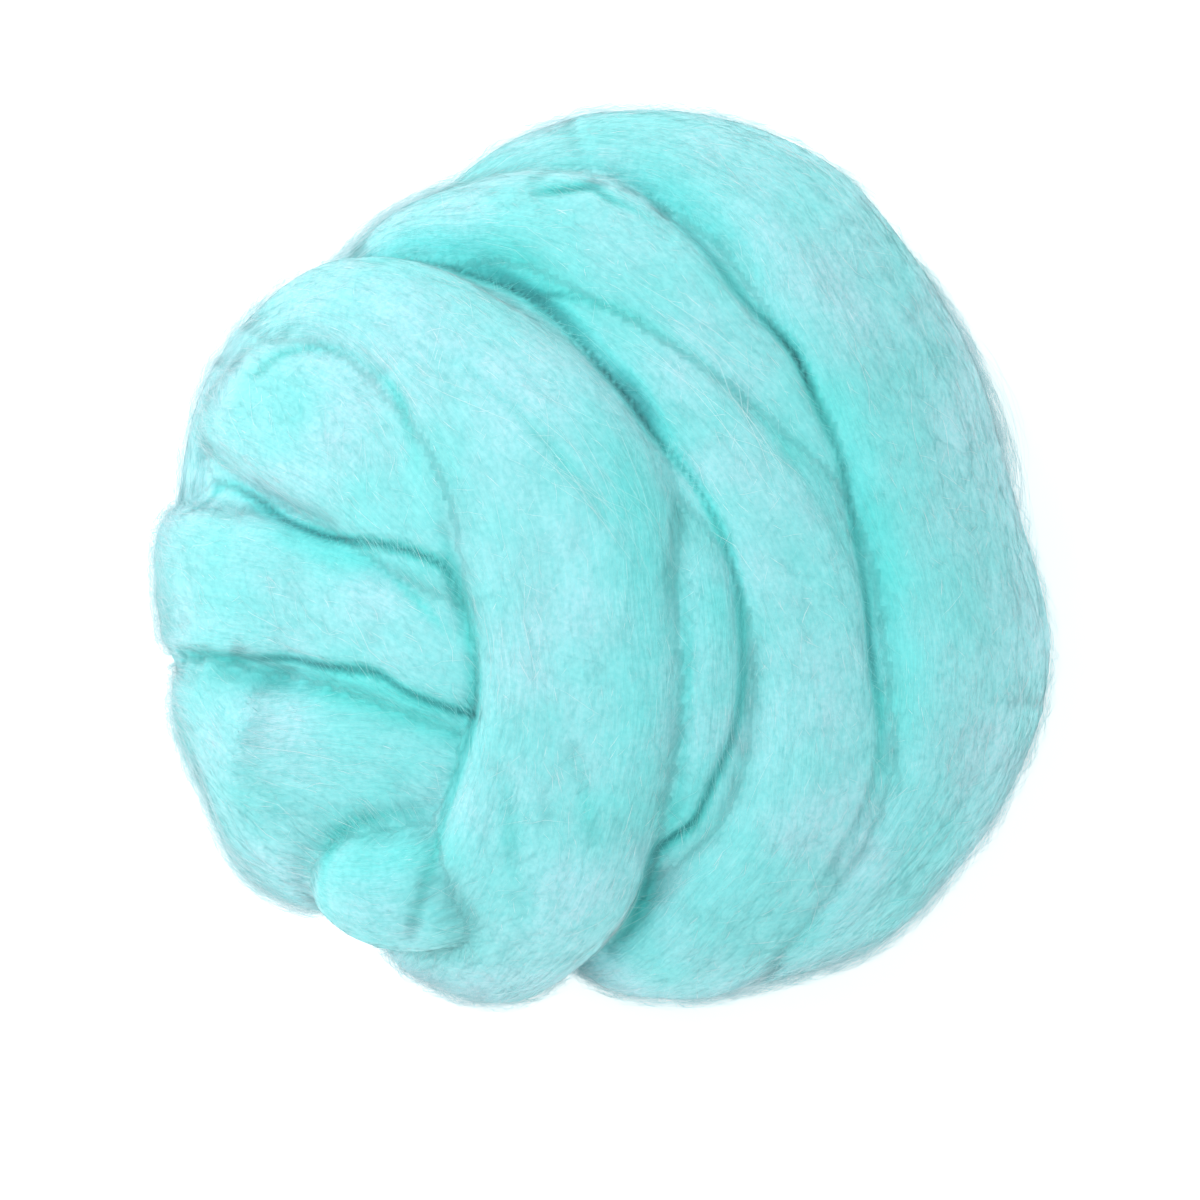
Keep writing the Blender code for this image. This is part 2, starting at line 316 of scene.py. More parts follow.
# Where the dense wool ends inside the outline, and only loose fibres reach it. Their shade isn't used.
THIN_RIMS = [
    Crease("right_rim", 2.3, 9, 1, [
        (46, 62, 0), (56, 50, 0.1), (64, 36, 0.5), (69.5, 20, 1), (72, 8, 1), (74, -4, 0.5),
        (75, -14, 0.1), (74, -26, 0),
    ]),
    Crease("far_left_rim", 2.0, 7, 1, [
        (-58, 36, 0), (-52, 46, 0.5), (-44, 54, 1), (-34, 60, 1), (-24, 65, 0.7), (-14, 69, 0.3),
        (-4, 72, 0),
    ]),
]

# Where wool fills a valley, so that one turn runs into the next: how high and how wide, and how wide it
# hides the shade.
FILLED_VALLEYS = [
    Crease("beside_upper_lobe", 1.1, 3.5, 4, [
        (-36, 29, 0), (-31.5, 22, 0.4), (-28.5, 14, 1), (-26.5, 6, 1), (-24, -2, 0.4), (-22, -8, 0),
    ]),
    Crease("left_of_upper_lobe", 1.5, 2.5, 3, [
        (-66, 8, 0), (-65.5, 13, 0.6), (-65, 19, 1), (-64.5, 23, 0.8), (-63.5, 27, 0.3), (-62, 31, 0),
    ]),
    Crease("left_notch", 3.0, 3.0, 3, [(-74, -15.5, 1), (-68, -16, 1), (-64, -16.5, 0.3), (-60, -17, 0)]),
]

# How many steps a path takes for each of its places, and the lowest level where each kind of row works.
PATH_STEPS = 4
LOWEST_CREASE = 58.0
LOWEST_THIN_RIM = 4.0
LOWEST_FILL = 30.0

# A turn's surface. Its squareness is 1 for an ellipse, and the rounding is a share of its length.
RING_STEP = 2.0
POINTS_AROUND = 48
SQUARENESS = 0.72
END_ROUNDING = 0.04
END_START = 0.05

# The angle of the core's end rings, in radians up or down from its middle.
CORE_END = 1.5

# The skin lies this far in, so that its fibres have room.
SKIN_STEP = 1.0
SMOOTH_ROUNDS = 8
FIBRE_ROOM = 0.3

# A place lies in a hollow where the skin, smoothed this much, would pass over it.
HOLLOW_ROUNDS = 60
HOLLOW_DEEP = 1.6
HOLLOW_START = -0.2
HOLLOW_SHADE = 0.16

# The relief that the fibres leave on the skin: how long and how wide its strands are, and how proud they
# stand. The strands wander sideways by a share of the turn's girth, in long waves.
Relief = namedtuple("Relief", "long wide proud")
RELIEF = [
    Relief(70, 9, 0.8),
    Relief(35, 3.5, 0.35),
]
RELIEF_ROUNDS = 3
WANDER = 0.03
WANDER_LONG = 30.0
FEWEST_ROWS, FEWEST_COLUMNS = 2, 3

# The charts of the skin's map reach this far past the ball, and each keeps a little clear of its edges.
CHART_REACH = 14.0
CHART_CLEAR = 1.04


def unit(vectors):
    return vectors / np.maximum(np.linalg.norm(vectors, axis=-1, keepdims=True), 1e-9)


def off_ball(places):
    """The directions that lead straight off the ball at these places."""
    return unit((places - [0, 0, MIDDLE]) / [HALF_WIDTH**2, HALF_WIDTH**2, HALF_HEIGHT**2])


def on_ball(section):
    """Where the middle of a section is. A place past the rim is brought back to the rim."""
    reach = math.hypot(section.x, section.y) / HALF_WIDTH
    rise = math.sqrt(max(0.0, 1 - reach * reach))
    past = max(reach, 1)
    place = np.array([[section.x / past, section.y / past, MIDDLE + section.side * HALF_HEIGHT * rise]])
    return (place + section.lift * off_ball(place))[0]


def smooth_rows(rows, count, closed):
    """count rows, evenly spread, along a smooth curve through these ones."""
    spans = len(rows) if closed else len(rows) - 1
    at = np.linspace(0, spans, count, endpoint=not closed)
    first = np.minimum(at.astype(int), spans - 1)
    part = (at - first)[:, None]

    def row(k):
        return rows[k % len(rows)] if closed else rows[np.clip(k, 0, len(rows) - 1)]

    a, b, c, d = row(first - 1), row(first), row(first + 1), row(first + 2)
    bend = (2 * a - 5 * b + 4 * c - d) * part**2 + (3 * b - a - 3 * c + d) * part**3
    return b + ((c - a) * part + bend) / 2


# A turn as rows of numbers, one for each cross-section: its middle, the directions across and upward, its
# half width and half thickness. length and girth are in millimetres.
Rope = namedtuple("Rope", "name closed rows length girth")
MID, ACROSS, UPWARD, HALF_W, HALF_T = slice(0, 3), slice(3, 6), slice(6, 9), 9, 10


def rope_of(turn):
    rows = np.array([[*on_ball(s), s.half_width, s.half_thick] for s in turn.sections])
    ends = np.vstack([rows, rows[:1]]) if turn.closed else rows
    length = np.linalg.norm(np.diff(ends[:, :3], axis=0), axis=1).sum()
    rows = smooth_rows(rows, round(length / RING_STEP), turn.closed)
    middle, halves = rows[:, :3], rows[:, 3:]
    if turn.closed:
        along = unit(np.roll(middle, -1, axis=0) - np.roll(middle, 1, axis=0))
    else:
        along = unit(np.gradient(middle, axis=0))
        nearest_end = np.minimum(np.linspace(0, 1, len(rows)), np.linspace(1, 0, len(rows)))
        rounding = np.clip(nearest_end / END_ROUNDING, END_START, 1)
        halves = halves * np.sqrt(1 - (1 - rounding) ** 2)[:, None]
    across = unit(np.cross(along, off_ball(middle)))
    upward = np.cross(across, along)
    girth = 2 * math.pi * np.sqrt((halves**2).sum(axis=1) / 2).mean()
    return Rope(turn.name, turn.closed, np.hstack([middle, across, upward, halves]), length, girth)


def place(rope, u, v):
    """Where a rope's surface is, u of the way along it and v of the way round its cross-section."""
    count = len(rope.rows)
    spans = count if rope.closed else count - 1
    at = (u % 1 if rope.closed else np.clip(u, 0, 1)) * spans
    first = np.minimum(at.astype(int), spans - 1)
    part = (at - first)[..., None]
    row = rope.rows[first] * (1 - part) + rope.rows[(first + 1) % count] * part
    angle = 2 * math.pi * v
    wide = np.sign(np.cos(angle)) * np.abs(np.cos(angle)) ** SQUARENESS * row[..., HALF_W]
    tall = np.sign(np.sin(angle)) * np.abs(np.sin(angle)) ** SQUARENESS * row[..., HALF_T]
    return row[..., MID] + row[..., ACROSS] * wide[..., None] + row[..., UPWARD] * tall[..., None]


def rope_grid(rope):
    """The rope's surface as rings of points."""
    count = len(rope.rows)
    u = np.arange(count) / (count if rope.closed else count - 1)
    v = np.arange(POINTS_AROUND) / POINTS_AROUND
    return place(rope, *np.meshgrid(u, v, indexing="ij"))


def core_grid():
    """The wool under the turns, a flattened ball, as rings of points from its lowest to its highest."""
    rise = np.linspace(-CORE_END, CORE_END, POINTS_AROUND)[:, None]
    turn = np.linspace(0, 2 * math.pi, POINTS_AROUND, endpoint=False)[None, :]
    half_width = HALF_WIDTH + CORE_RISE
    x = half_width * np.cos(rise) * np.cos(turn)
    y = half_width * np.cos(rise) * np.sin(turn)
    z = MIDDLE + (HALF_HEIGHT + CORE_RISE) * np.sin(rise) * np.ones_like(turn)
    return np.stack([x, y, z], axis=2)


def grid_faces(shape, closed, first):
    """The four-cornered faces of a grid of rings whose points start at first."""
    rings, steps = shape[:2]
    ring, step = np.meshgrid(np.arange(rings if closed else rings - 1), np.arange(steps), indexing="ij")
    after, beside = (ring + 1) % rings, (step + 1) % steps
    corners = [ring * steps + step, ring * steps + beside, after * steps + beside, after * steps + step]
    return first + np.stack(corners, axis=2).reshape(-1, 4)


def new_object(name, mesh):
    made = bpy.data.objects.new(name, mesh)
    bpy.context.scene.collection.objects.link(made)
    return made


def read_rows(parts, field, width, kind=float):
    """One field of a mesh's parts, as a row of so many numbers for each part."""
    values = np.empty(len(parts) * width, kind)
    parts.foreach_get(field, values)
    return values.reshape(-1, width)


def write_rows(parts, field, values):
    parts.foreach_set(field, values.astype(np.float32).ravel())


def get_points(mesh):
    """The mesh's points, in millimetres."""
    return read_rows(mesh.vertices, "co", 3) / MM


def get_normals(mesh):
    return read_rows(mesh.vertex_normals, "vector", 3)


def add_attribute(mesh, name, values):
    """Store a number, or three, at each point of the mesh."""
    kind, field = ("FLOAT_VECTOR", "vector") if values.ndim == 2 else ("FLOAT", "value")
    write_rows(mesh.attributes.new(name, kind, "POINT").data, field, values)


def add_map(mesh, u, v):
    write_rows(mesh.uv_layers.new(name="OFBake").data, "uv", np.stack([u, v], axis=-1))


# ---------------- the skin


def through_modifiers(mesh, add_modifiers):
    """The mesh as it is after these modifiers."""
    holder = new_object("holder", mesh)
    add_modifiers(holder.modifiers)
    shown = holder.evaluated_get(bpy.context.evaluated_depsgraph_get())
    result = bpy.data.meshes.new_from_object(shown)
    bpy.data.objects.remove(holder)
    return result


def one_skin(ropes):
    """The core and the ropes under one closed skin, as a mesh."""
    points, faces, first = [], [], 0
    for grid, closed in [(rope_grid(rope), rope.closed) for rope in ropes] + [(core_grid(), False)]:
        rings, steps = grid.shape[:2]
        points.append(grid.reshape(-1, 3))
        faces += grid_faces(grid.shape, closed, first).tolist()
        if not closed:
            faces.append(list(range(first, first + steps))[::-1])
            faces.append(list(range(first + (rings - 1) * steps, first + rings * steps)))
        first += rings * steps
    mesh = bpy.data.meshes.new("turns")
    mesh.from_pydata((np.vstack(points) * MM).tolist(), [], faces)

    def close_and_soften(modifiers):
        skin = modifiers.new("one_skin", "REMESH")
        skin.mode = "VOXEL"
        skin.voxel_size = SKIN_STEP * MM
        skin.use_smooth_shade = True
        soften = modifiers.new("soften", "SMOOTH")
        soften.iterations = SMOOTH_ROUNDS

    return through_modifiers(mesh, close_and_soften)


def hollow_shade(mesh):
    """How much of the shade of the hollows lies on each point of the mesh."""

    def smooth_far(modifiers):
        modifiers.new("smooth_far", "SMOOTH").iterations = HOLLOW_ROUNDS

    over = get_points(through_modifiers(mesh, smooth_far)) - get_points(mesh)
    hollow = (over * get_normals(mesh)).sum(axis=1)
    return HOLLOW_SHADE * ((hollow - HOLLOW_START) / (HOLLOW_DEEP - HOLLOW_START)).clip(0, 1)


def nearest_faces(tree, points):
    """The spot nearest to each point, the normal and the number of its face, and how far away it is."""
    found = [tree.find_nearest(point) for point in points.tolist()]
    return [np.array([hit[part] for hit in found]) for part in range(4)]


# Where a point lies on the turns: which rope it is on, u of the way along it and v of the way round it.
Lay = namedtuple("Lay", "rope u v")


def lay_of(points, ropes):
    """The lay of each point, from the rope whose surface is nearest."""
    grids = [rope_grid(rope) for rope in ropes]
    firsts = np.cumsum([0] + [grid.shape[0] * grid.shape[1] for grid in grids])
    tables = [grid_faces(grid.shape, rope.closed, first) for grid, rope, first in zip(grids, ropes, firsts)]
    owner = np.repeat(np.arange(len(ropes)), [len(table) for table in tables])
    faces = np.vstack(tables)
    corners = np.vstack([grid.reshape(-1, 3) for grid in grids])
    tree = BVHTree.FromPolygons(corners.tolist(), faces.tolist())
    spot, _, face, _ = nearest_faces(tree, points)

    here, beside, after = (corners[faces[face, k]] for k in (0, 1, 3))

    def share(edge):
        """How far along an edge of its face a spot is."""
        return np.clip(((spot - here) * edge).sum(axis=1) / np.maximum((edge**2).sum(axis=1), 1e-9), 0, 1)

    number = faces[face, 0] - firsts[owner[face]]
    count = np.array([grid.shape[0] for grid in grids])[owner[face]]
    spans = count - np.array([not rope.closed for rope in ropes])[owner[face]]
    u = (number // POINTS_AROUND + share(after - here)) / spans
    v = (number % POINTS_AROUND + share(beside - here)) / POINTS_AROUND
    return Lay(owner[face], u, v)


def noise(rng, u, v, rows, columns):
    """Smooth noise from -1 to 1 in rows of cells along u and columns along v. It repeats past 1."""
    lattice = rng.uniform(-1, 1, (rows, columns))
    x, y = (u % 1) * rows, (v % 1) * columns
    i, j = x.astype(int) % rows, y.astype(int) % columns
    a, b = x % 1, y % 1
    a, b = a * a * (3 - 2 * a), b * b * (3 - 2 * b)
    i_next, j_next = (i + 1) % rows, (j + 1) % columns
    near = lattice[i, j] * (1 - b) + lattice[i, j_next] * b
    far = lattice[i_next, j] * (1 - b) + lattice[i_next, j_next] * b
    return near * (1 - a) + far * a


def combed_relief(rng, ropes, lay):
    """How far each point stands proud of the plain turns, from strands that follow them."""
    proud = np.zeros(len(lay.u))
    for number, rope in enumerate(ropes):
        mine = lay.rope == number
        u, v = lay.u[mine], lay.v[mine]
        waves = max(FEWEST_ROWS, round(rope.length / WANDER_LONG))
        wander = WANDER * noise(rng, u, v, waves, FEWEST_COLUMNS)
        for relief in RELIEF:
            rows = max(FEWEST_ROWS, round(rope.length / relief.long))
            columns = max(FEWEST_COLUMNS, round(rope.girth / relief.wide))
            proud[mine] += relief.proud * noise(rng, u, v + wander, rows, columns) / 2
    return proud


def smoothed(mesh, values, rounds):
    """The values at the mesh's points, each drawn halfway to those beside it this many times."""
    ends = read_rows(mesh.edges, "vertices", 2, np.int32)
    here, there = ends.T
    beside = np.bincount(ends.ravel(), minlength=len(values))
    for _ in range(rounds):
        total = np.bincount(here, values[there], len(values))
        total += np.bincount(there, values[here], len(values))
        values = (values + total / beside) / 2
    return values


def distance_to_path(points, path):
    """How far each point is from a smooth path in plan, and how far along it the nearest place is."""
    way = smooth_rows(path, PATH_STEPS * len(path), False)
    start, step = way[:-1], np.diff(way, axis=0)
    best, along = np.full(len(points), np.inf), np.zeros(len(points))
    for number in range(len(start)):
        off = points[:, :2] - start[number]
        share = np.clip(off @ step[number] / (step[number] ** 2).sum(), 0, 1)
        gap = np.hypot(*(off - share[:, None] * step[number]).T)
        nearer = gap < best
        best[nearer] = gap[nearer]
        along[nearer] = (number + share[nearer]) / len(start)
    return best, along


def creases_at(points, creases, lowest):
    """How deep the creases press each point in, and how much of their shade lies on it, from 0 to 1."""
    deep, shade = np.zeros(len(points)), np.zeros(len(points))
    above = np.flatnonzero(points[:, 2] > lowest)
    for crease in creases:
        places = np.array(crease.places, float)
        gap, along = distance_to_path(points[above], places[:, :2])
        strong = np.interp(along, np.linspace(0, 1, len(places)), places[:, 2])
        deep[above] += crease.deep * strong**0.5 * np.exp(-((gap / crease.half_width) ** 2)) * (strong > 0)
        shade[above] = np.maximum(shade[above], strong * np.exp(-((gap / crease.shade_width) ** 2)))
    return deep, shade


def reshaped(points):
    """The points moved in at the thin rims, and out where a valley is filled."""
    thin, _ = creases_at(points, THIN_RIMS, LOWEST_THIN_RIM)
    filled, _ = creases_at(points, FILLED_VALLEYS, LOWEST_FILL)
    return points - off_ball(points) * (thin - filled)[:, None]


def chart_map(mesh, points):
    """Six flat charts, one for each side of a box round the ball, as the map OFBake."""
    corners = read_rows(mesh.loops, "vertex_index", 1, np.int32)[:, 0]
    totals = read_rows(mesh.polygons, "loop_total", 1, np.int32)[:, 0]
    centres = read_rows(mesh.polygons, "center", 3) / MM
    reach = np.array([HALF_WIDTH, HALF_WIDTH, HALF_HEIGHT]) + CHART_REACH
    facing = (centres - [0, 0, MIDDLE]) / reach
    axis = np.abs(facing).argmax(axis=1)
    side = facing[np.arange(len(axis)), axis] > 0
    axis, side = np.repeat(axis, totals), np.repeat(side, totals)
    across, up = (axis + 1) % 3, (axis + 2) % 3
    local = (points[corners] - [0, 0, MIDDLE]) / (reach * CHART_CLEAR) * 0.5 + 0.5
    every = np.arange(len(corners))
    add_map(mesh, (axis + local[every, across]) / 3, (side + local[every, up]) / 2)


# How many millimetres along a turn count as one across it, for patterns that follow the fibres, and how far
# apart two turns' patterns are.
STRETCH = 15.0
LAY_APART = 40.0


def add_lay(mesh, ropes, lay):
    """Store where each point lies on its turn, as places on two circles, so that patterns meet at seams."""
    length = np.array([rope.length for rope in ropes])[lay.rope]
    girth = np.array([rope.girth for rope in ropes])[lay.rope]
    along, around = 2 * math.pi * lay.u, 2 * math.pi * lay.v
    big, small = length / STRETCH / (2 * math.pi), girth / (2 * math.pi)
    shift = LAY_APART * lay.rope
    circles = [big * np.cos(along) + shift, big * np.sin(along), small * np.cos(around)]
    add_attribute(mesh, "lay", np.stack(circles, axis=1))
    add_attribute(mesh, "lay_w", small * np.sin(around))


# The skin's object, its points in millimetres, their lay, a tree of its faces to find places on it, and the
# shade on each face.
Skin = namedtuple("Skin", "object points lay tree face_shade")


def made_skin(rng, ropes):
    """The skin with its relief and creases."""
    mesh = one_skin(ropes)
    points = get_points(mesh)
    lay = lay_of(points, ropes)
    deep, shade = creases_at(points, CREASES, LOWEST_CREASE)
    _, hidden = creases_at(points, FILLED_VALLEYS, LOWEST_FILL)
    shade = 1 - (1 - shade) * (1 - hollow_shade(mesh) * (1 - hidden))
    relief = smoothed(mesh, combed_relief(rng, ropes, lay), RELIEF_ROUNDS)
    points += get_normals(mesh) * (relief - FIBRE_ROOM)[:, None]
    points = reshaped(points - off_ball(points) * deep[:, None])
    points[:, 2] = np.maximum(points[:, 2], 0)
    write_rows(mesh.vertices, "co", points * MM)
    mesh.update()
    add_lay(mesh, ropes, lay)
    add_attribute(mesh, "shade", shade)
    chart_map(mesh, points)
    faces = [face.vertices[:] for face in mesh.polygons]
    tree = BVHTree.FromPolygons(points.tolist(), faces)
    face_shade = np.array([shade[list(face)].mean() for face in faces])
    return Skin(new_object("roving_skin", mesh), points, lay, tree, face_shade)


# ---------------- the fibres

# A kind of fibre: its pieces and how many fibres each has, the points along one, its shortest and longest
# length, how thick it is, how low and how high it stands off the skin, the degrees that it strays from its
# turn, how wavy and how pale it is, and how slowly one end rises, or 0 where both ends lie down. How pale
# it is stands partly for thin wool's own paler look and partly for painted light shining through it. The
# rim's fuzz grows only where the skin is steep.
Kind = namedtuple("Kind", "name pieces count stations short long thick low high stray wave pale rises rim")
KINDS = [
    Kind("lying_fibres", 2, 24000, 3, 4, 10, 0.075, -0.03, 0.06, 12, 0.05, 0.0, 0, False),
    Kind("crossing_fibres", 2, 18500, 3, 3, 7, 0.065, -0.03, 0.08, 36, 0.05, 0.1, 0, False),
    Kind("long_fibres", 1, 2200, 6, 14, 30, 0.06, 0.0, 0.15, 8, 0.5, 0.2, 0, False),
    Kind("fuzz_fibres", 1, 5500, 4, 4, 9, 0.045, 0.0, 1.2, 30, 0.4, 0.2, 1.4, False),
    # The rim's fuzz is pale: thin wool's own paler look and a painted rim of light along the outline.
    Kind("rim_fuzz", 1, 17000, 3, 3, 9, 0.045, 0.2, 2.6, 28, 0.5, 2.0, 0.8, True),
]

# How far fibres vary round their kind's own measures.
THICKNESSES = (0.7, 1.25)
MOST_STRAY = 45.0
WAVES = (0.6, 1.6)
MOST_TONE = 2.0

# A point of a fibre this far from the skin is buried under other turns. A fibre is kept where more than
# this share of it shows.
BURIED = 1.6
LEAST_SHOWN = 0.6

# The lowest that a fibre may lie, and the lowest that one may start.
LOWEST_FIBRE = 0.3
LOWEST_SEED = 4.0

# The most that the ball and its skin face up or down where the rim's fuzz grows.
RIM_SLOPE = 0.5
RIM_STEEPNESS = 0.35

# In deeper shade than this only a share of the fibres is kept, and none of the rim's fuzz.
CREASE_SHADE = 0.4
CREASE_KEPT = 0.3
RIM_SHADE = 0.06

# How far the normals of lying, rising and loose fibres are turned to the skin's.
LYING_SKIN_SHARE = 0.85
RISING_SKIN_SHARE = 0.3
LOOSE_SKIN_SHARE = 0.5

# How much of its square of the map is left clear beside each fibre.
CELL_CLEAR = 0.2

# How many degrees the fibres of a folded lobe turn away from the lobe's own direction.
SLANT = {"upper_lobe": -14, "middle_lobe": -18, "lower_lobe": -18}


def walk(rng, kind, count, ropes, lay, seeds):
    """The way of each fibre over the turns, before it is laid on the skin."""
    length = rng.uniform(kind.short, kind.long, count)
    slant = np.array([SLANT.get(rope.name, 0) for rope in ropes])[lay.rope[seeds]]
    stray = rng.normal(0, kind.stray, count).clip(-MOST_STRAY, MOST_STRAY)
    slope = np.tan(np.radians(slant + stray))
    phase = rng.uniform(0, 2 * math.pi, count)
    waves = rng.uniform(*WAVES, count)
    share = np.linspace(0, 1, kind.stations)
    forward = (share[None] - 0.5) * length[:, None]
    forward *= rng.choice([-1, 1], count)[:, None]
    sideways = slope[:, None] * forward
    sideways += kind.wave * np.sin(phase[:, None] + 2 * math.pi * waves[:, None] * share)
    jitter = rng.uniform(-1, 1, (2, count)) * SKIN_STEP
    ways = np.empty((count, kind.stations, 3))
    for number, rope in enumerate(ropes):
        mine = np.flatnonzero(lay.rope[seeds] == number)
        u = (lay.u[seeds[mine]] + jitter[0, mine] / rope.length)[:, None] + forward[mine] / rope.length
        v = (lay.v[seeds[mine]] + jitter[1, mine] / rope.girth)[:, None] + sideways[mine] / rope.girth
        ways[mine] = place(rope, u, v)
    return ways


# Fibres laid on the skin: their points, the skin's normal and shade at each, and which points show.
Laid = namedtuple("Laid", "points ups shade shows")
STRAIGHT_UP = [0.0, 0.0, 1.0]


def settle(ways, lift, skin, buried):
    """Lay the ways on the skin, lifted off it. Points as far from it as buried stay where they are."""
    flat = reshaped(ways.reshape(-1, 3))
    spot, normal, face, gap = nearest_faces(skin.tree, flat)
    shade = skin.face_shade[face]
    shows = gap < buried
    points = np.where(shows[:, None], spot + normal * lift.reshape(-1, 1), flat)
    points[:, 2] = np.maximum(points[:, 2], LOWEST_FIBRE)
    shape = ways.shape[:2]
    points, normal = points.reshape(ways.shape), normal.reshape(ways.shape)
    return Laid(points, normal, shade.reshape(shape), shows.reshape(shape))


def needle_pattern(stations):
    """The faces of one three-sided fibre: the rows of its corners, and how many corners each face has."""
    inner = stations - 2
    tip, ring = 3 * inner, lambda j, k: 3 * j + k % 3
    faces = [(tip, ring(0, k), ring(0, k + 1)) for k in range(3)]
    for j in range(inner - 1):
        faces += [(ring(j, k), ring(j + 1, k), ring(j + 1, k + 1), ring(j, k + 1)) for k in range(3)]
    faces += [(tip + 1, ring(inner - 1, k + 1), ring(inner - 1, k)) for k in range(3)]
    return np.array([corner for face in faces for corner in face]), np.array([len(face) for face in faces])


def fibre_piece(name, laid, thick, tone, skin_share):
    """Fibres as one piece: each is three-sided and tapers to a point at both ends.

    Their normals are turned to the skin's by skin_share, because a fibre in a mass is lit as the mass is.
    """
    ways, ups = laid.points, laid.ups
    count, stations = ways.shape[:2]
    inner = stations - 2
    along = unit(np.gradient(ways, axis=1))
    side = unit(np.cross(along, ups))
    up = np.cross(side, along)
    share = np.linspace(0, 1, stations)[1:-1]
    half = thick[:, None] / 2 * np.sin(math.pi * share) ** 0.5
    angle = 2 * math.pi * np.arange(3) / 3
    spread = side[:, 1:-1, None] * np.cos(angle)[:, None] + up[:, 1:-1, None] * np.sin(angle)[:, None]
    rings = ways[:, 1:-1, None] + spread * half[:, :, None, None]
    points = np.concatenate([rings.reshape(count, -1, 3), ways[:, :1], ways[:, -1:]], axis=1)
    own = spread * (1 - skin_share) + ups[:, 1:-1, None] * skin_share
    normals = unit(np.concatenate([own.reshape(count, -1, 3), ups[:, :1], ups[:, -1:]], axis=1))
    shade = [np.repeat(laid.shade[:, 1:-1], 3, axis=1), laid.shade[:, :1], laid.shade[:, -1:]]

    pattern, sides = needle_pattern(stations)
    each = points.shape[1]
    corners = (pattern[None] + each * np.arange(count)[:, None]).ravel()
    sides = np.tile(sides, count)

    mesh = bpy.data.meshes.new(name)
    mesh.vertices.add(count * each)
    write_rows(mesh.vertices, "co", points * MM)
    mesh.loops.add(len(corners))
    mesh.loops.foreach_set("vertex_index", corners.astype(np.int32))
    mesh.polygons.add(len(sides))
    mesh.polygons.foreach_set("loop_start", (np.cumsum(sides) - sides).astype(np.int32))
    mesh.polygons.foreach_set("use_smooth", np.ones(len(sides), bool))
    mesh.update(calc_edges=True)
    mesh.normals_split_custom_set_from_vertices(normals.reshape(-1, 3).tolist())
    add_attribute(mesh, "tone", np.repeat(tone, each))
    add_attribute(mesh, "shade", np.concatenate(shade, axis=1).ravel())

    # In the map each fibre has a small square of its own, along it one way and round it the other.
    place_along = np.concatenate([np.repeat(share, 3), [0.0, 1.0]])[pattern]
    place_round = np.concatenate([np.tile([0.0, 0.5, 1.0], inner), [0.5, 0.5]])[pattern]
    cells = math.ceil(math.sqrt(count))
    column, row = np.arange(count) % cells, np.arange(count) // cells
    used = 1 - 2 * CELL_CLEAR
    u = (column[:, None] + CELL_CLEAR + used * place_along) / cells
    v = (row[:, None] + CELL_CLEAR + used * place_round) / cells
    add_map(mesh, u, v)
    return new_object(name, mesh)


def made_fibres(rng, kind, ropes, skin):
    """The pieces of one kind of fibre. Most fibres lie low, but the rim's stand at all heights."""
    pieces = []
    shown = skin.points[:, 2] > LOWEST_SEED
    if kind.rim:
        shown &= np.abs(off_ball(skin.points)[:, 2]) < RIM_SLOPE
        shown &= np.abs(get_normals(skin.object.data)[:, 2]) < RIM_STEEPNESS
    shown = np.flatnonzero(shown)
    share = np.linspace(0, 1, kind.stations)
    shape = share**kind.rises if kind.rises else np.sin(math.pi * share) ** 0.5
    for number in range(kind.pieces):
        seeds = rng.choice(shown, kind.count)
        ways = walk(rng, kind, kind.count, ropes, skin.lay, seeds)
        height = rng.random(kind.count) ** (1 if kind.rim else 2)
        high = kind.low + (kind.high - kind.low) * height
        lift = kind.low + (high - kind.low)[:, None] * shape
        laid = settle(ways, lift, skin, BURIED)
        crease_shade, crease_kept = (RIM_SHADE, 0.0) if kind.rim else (CREASE_SHADE, CREASE_KEPT)
        clear = laid.shade[:, kind.stations // 2] < crease_shade
        clear |= rng.random(kind.count) < crease_kept
        kept = (laid.shows.mean(axis=1) > LEAST_SHOWN) & clear
        thick = kind.thick * rng.uniform(*THICKNESSES, kind.count)
        tone = (kind.pale + rng.normal(0, 1, kind.count)).clip(-MOST_TONE, MOST_TONE)
        name = f"{kind.name}_{number + 1}" if kind.pieces > 1 else kind.name
        laid = Laid(*(part[kept] for part in laid))
        if kind.rim:
            laid = laid._replace(ups=np.zeros_like(laid.ups) + STRAIGHT_UP)
        skin_share = RISING_SKIN_SHARE if kind.rises else LYING_SKIN_SHARE
        pieces.append(fibre_piece(name, laid, thick[kept], tone[kept], skin_share))
    return pieces


# A wisp of loose fibres: how many, how thick, how far they spread, whether they lie on the skin or bridge
# the ball's outline, and the places that they pass, in x, y and z.
Wisp = namedtuple("Wisp", "name count thick spread lies places")
WISPS = [
    Wisp("far_left", 70, 0.05, 1.8, False, [
        (-54, 38, 54), (-46, 48, 52), (-36, 55.5, 52), (-26, 61, 53), (-12, 65, 57),
    ]),
    Wisp("right", 60, 0.05, 1.8, False, [
        (56, 43, 55), (63, 32, 53), (67.5, 20, 50), (70, 8, 48), (71.5, -8, 45),
    ]),
    Wisp("over_front", 26, 0.05, 4.0, True, [
        (-20, 28, 95), (-10, 20, 97), (-2, 12, 98), (5, 2, 98), (10, -8, 96),
    ]),
    Wisp("over_fold", 14, 0.05, 3.0, True, [
        (2, 41, 88), (12, 34, 90), (21, 25, 91), (29, 15, 91), (36, 4, 90),
    ]),
    Wisp("near_edge", 16, 0.05, 3.0, True, [(14, -50, 80), (6, -56, 76), (-2, -62, 70), (-12, -66, 66)]),
]
WISP_STATIONS = 8
WISP_STEPS = 60

# A fibre takes up a part of its wisp. One that lies falls to the skin, this far at most, and one that
# bridges the outline has its ends tucked in.
LATEST_START = 0.45
LEAST_LENGTH = 0.3
WISP_LIFT = (0.05, 0.5)
WISP_TUCK = 2.5
WISP_FALL = 20.0
WISP_THICKNESSES = (0.7, 1.2)
# The wisps' pale tone: thin wool's own paler look and painted light shining through them.
WISP_TONE, WISP_TONE_SPREAD = 1.9, 0.2


